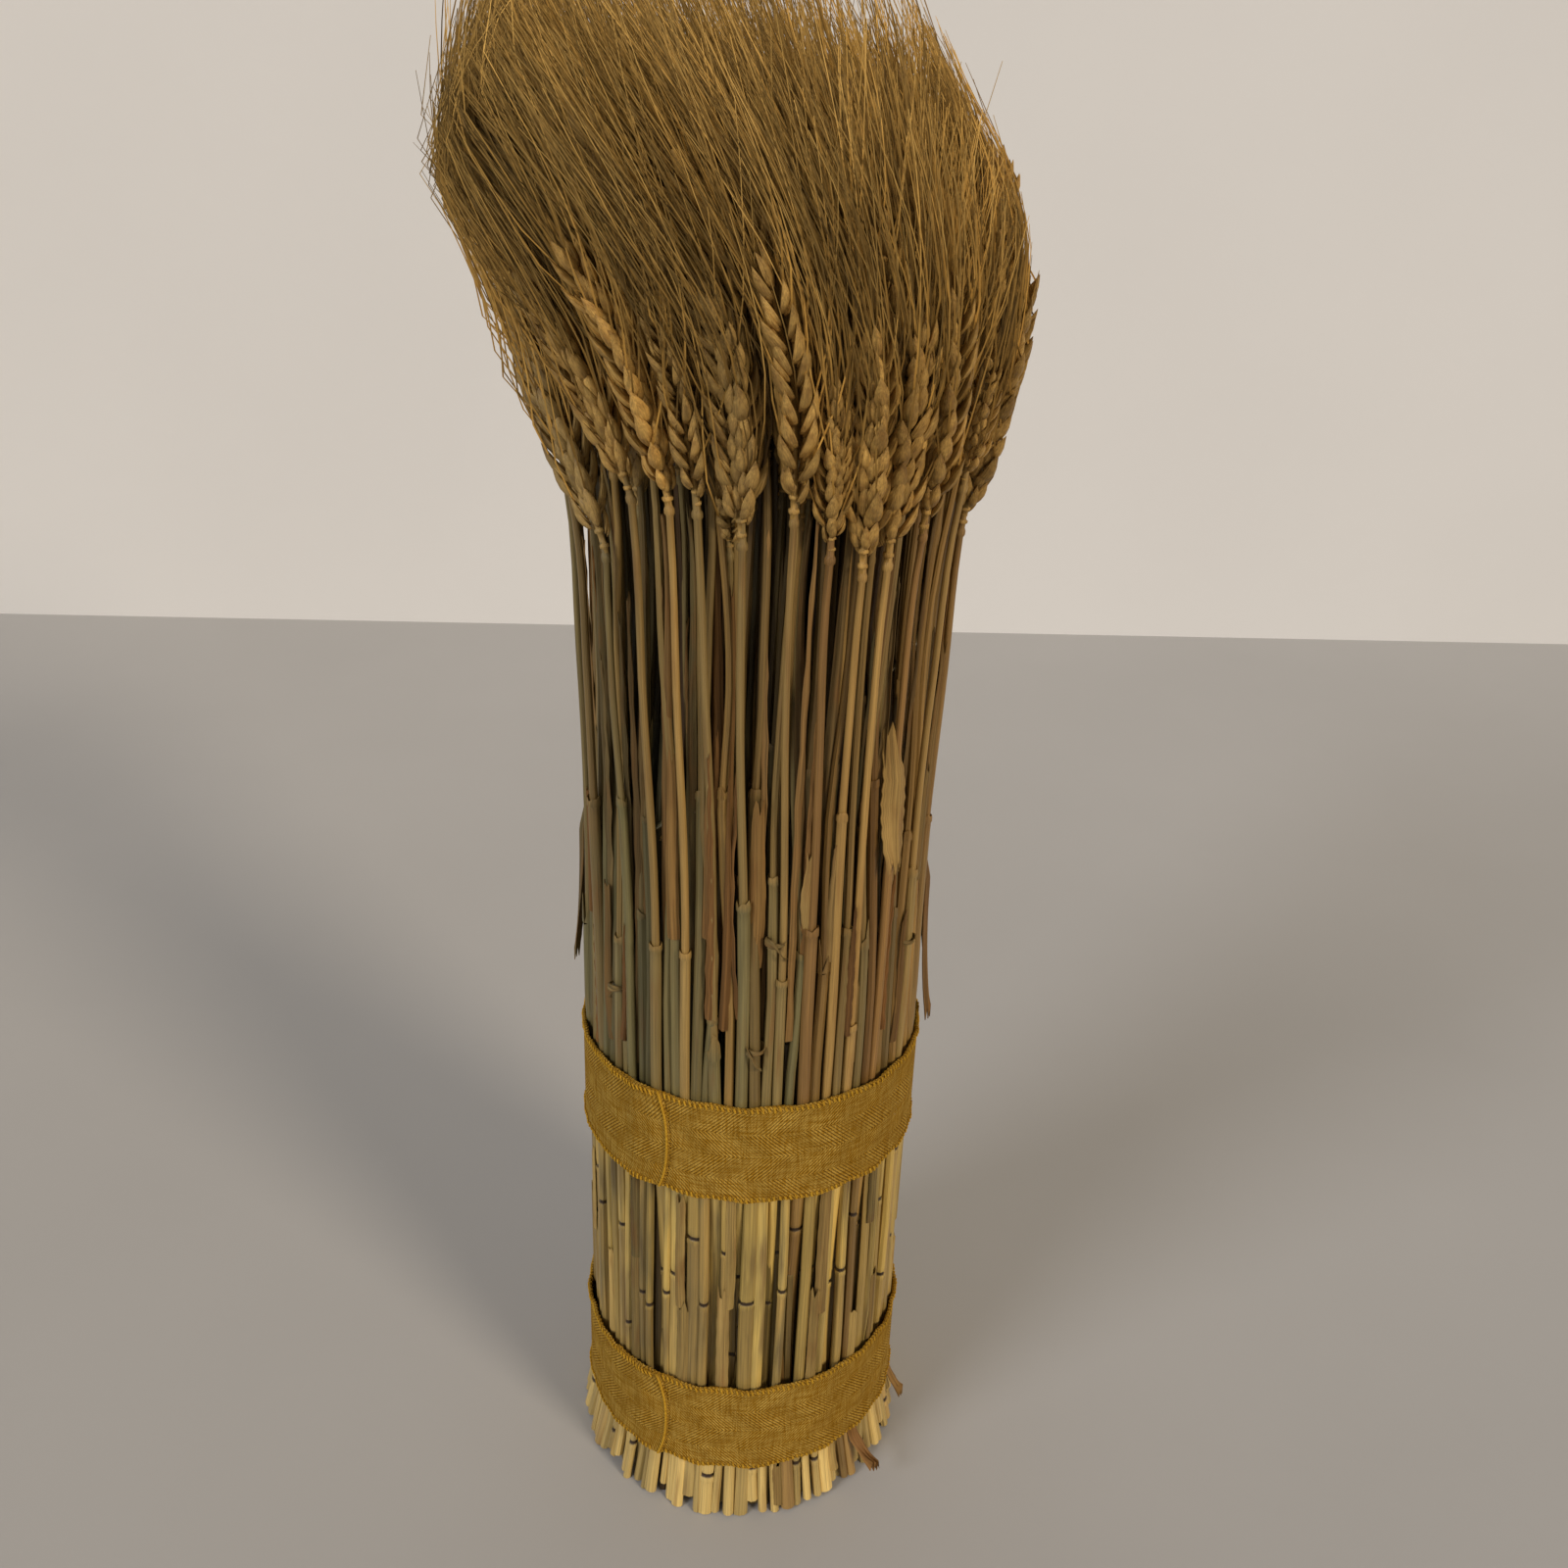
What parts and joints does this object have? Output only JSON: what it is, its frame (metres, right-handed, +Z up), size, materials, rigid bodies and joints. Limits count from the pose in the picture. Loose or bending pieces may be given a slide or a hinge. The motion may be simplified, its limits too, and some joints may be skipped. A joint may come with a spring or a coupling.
{
  "type": "bundle of dried wheat",
  "caption": "Upright sheaf of dried bearded wheat, bound by two flat woven ribbons, that stands by itself on its evenly cut straw ends as a table decoration.",
  "frame": {"origin": "on the supporting surface, in the middle of the cut straw ends", "axes": "+Z up along the stalks from the cut ends to the awns; -Y is the front, where the loose ends of both ribbons show; +X is to the right seen from the front"},
  "size_m": [0.1784, 0.1685, 0.503],
  "materials": {
    "straw": "dry wheat straw with a faint sheen, grey-green to golden, paler towards the cut ends",
    "ear": "dry husks, golden tan, satin",
    "awn": "dry golden brown bristles",
    "dry_leaf": "brittle dried leaf and sheath scraps, matt brown",
    "ribbon_cloth": "mustard woven ribbon, matt, herringbone weave",
    "ribbon_stitching": "overlocked thread along the ribbon's edges"
  },
  "bodies": {
    "root": {"core_stalks_1": "straw", "core_stalks_2": "straw", "core_stalks_3": "straw", "core_stalks_4": "straw", "core_stalks_5": "straw", "core_stalks_6": "straw", "core_stalks_7": "straw", "dry_leaf_1": "dry_leaf", "dry_leaf_2": "dry_leaf", "dry_leaf_3": "dry_leaf", "dry_leaf_4": "dry_leaf", "dry_leaf_5": "dry_leaf", "lower_ribbon": "ribbon_cloth", "middle_stalk_01": "straw", "middle_stalk_02": "straw", "middle_stalk_03": "straw", "middle_stalk_04": "straw", "middle_stalk_05": "straw", "middle_stalk_06": "straw", "middle_stalk_07": "straw", "middle_stalk_08": "straw", "middle_stalk_09": "straw", "middle_stalk_10": "straw", "middle_stalk_11": "straw", "middle_stalk_12": "straw", "middle_stalk_13": "straw", "middle_stalk_14": "straw", "middle_stalk_15": "straw", "middle_stalk_16": "straw", "middle_stalk_17": "straw", "middle_stalk_18": "straw", "middle_stalk_19": "straw", "middle_stalk_20": "straw", "outer_stalk_01": "straw", "outer_stalk_02": "straw", "outer_stalk_03": "straw", "outer_stalk_04": "straw", "outer_stalk_05": "straw", "outer_stalk_06": "straw", "outer_stalk_07": "straw", "outer_stalk_08": "straw", "outer_stalk_09": "straw", "outer_stalk_10": "straw", "outer_stalk_11": "straw", "outer_stalk_12": "straw", "outer_stalk_13": "straw", "outer_stalk_14": "straw", "outer_stalk_15": "straw", "outer_stalk_16": "straw", "outer_stalk_17": "straw", "outer_stalk_18": "straw", "outer_stalk_19": "straw", "outer_stalk_20": "straw", "outer_stalk_21": "straw", "outer_stalk_22": "straw", "outer_stalk_23": "straw", "outer_stalk_24": "straw", "outer_stalk_25": "straw", "outer_stalk_26": "straw", "upper_ribbon": "ribbon_cloth"}
  },
  "joints": []
}
